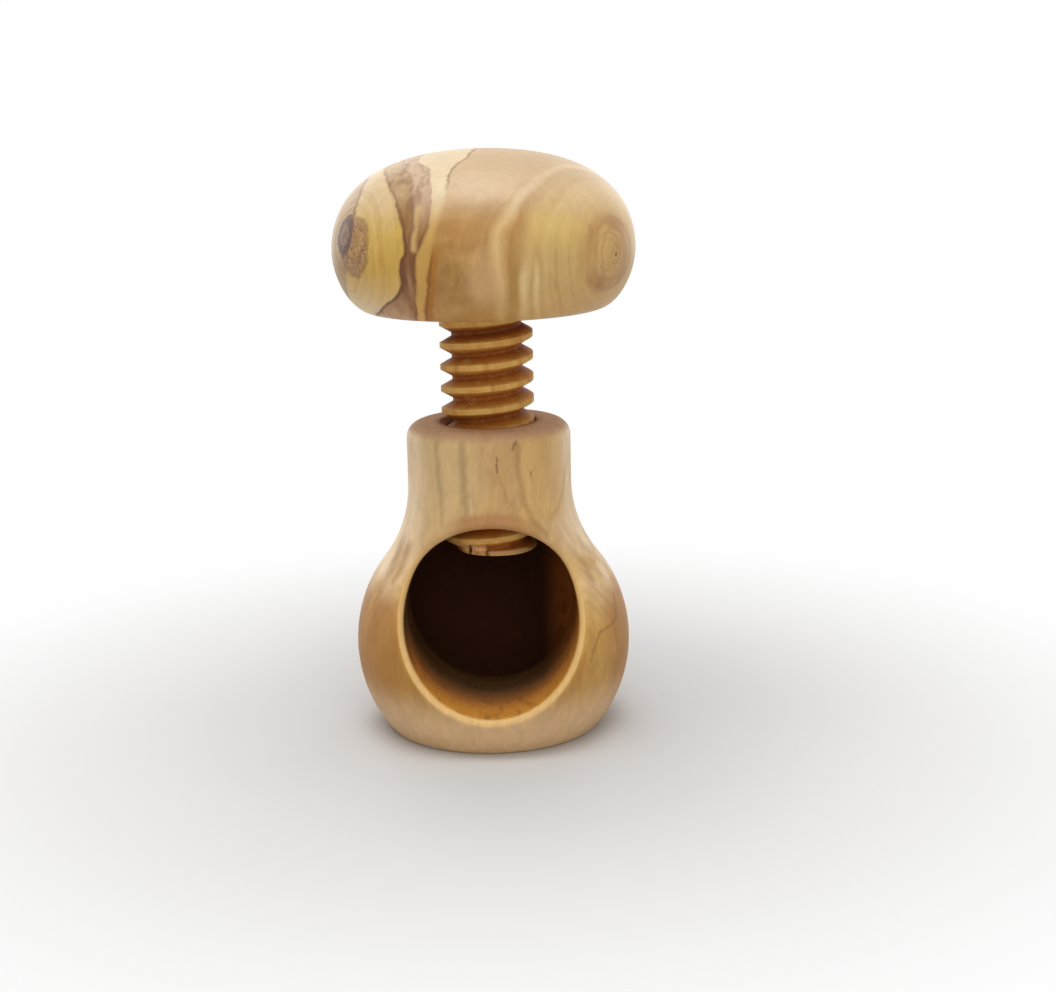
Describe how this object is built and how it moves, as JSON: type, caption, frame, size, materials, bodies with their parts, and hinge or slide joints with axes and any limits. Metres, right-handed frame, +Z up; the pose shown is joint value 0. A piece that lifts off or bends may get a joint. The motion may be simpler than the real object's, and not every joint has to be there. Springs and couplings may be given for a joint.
{
  "type": "screw nutcracker",
  "caption": "Turned olive-wood screw nutcracker: pear-shaped body with a nut chamber open at the front, wooden screw through its neck and a mushroom knob.",
  "frame": {"origin": "middle of the foot, on the surface the nutcracker stands on", "axes": "+Z up along the screw's axis, the nut chamber opens towards -Y"},
  "size_m": [0.0738, 0.0738, 0.1444],
  "materials": {
    "body_wood": "oiled satin",
    "screw_wood": "cut wood, lightly oiled",
    "knob_wood": "oiled satin, strongly figured",
    "wood_glue": "dried wood glue"
  },
  "bodies": {
    "base": {"body": "body_wood"},
    "lift": {"glue_film": "wood_glue"},
    "spindle": {"screw": "screw_wood", "knob": "knob_wood"}
  },
  "joints": [
    {"name": "screw_travel", "type": "slide", "parent": "base", "child": "lift", "axis": [0, 0, 1], "range_m": [-0.02778, 0.02836]},
    {"name": "screw_turn", "type": "hinge", "parent": "lift", "child": "spindle", "pos_m": [0, 0, 0.09], "axis": [0, 0, 1], "range_deg": [-1850, 1890]}
  ],
  "couplings": [
    {"joint": "screw_travel", "follows": "screw_turn", "m_per_rad": 0.00085944}
  ]
}
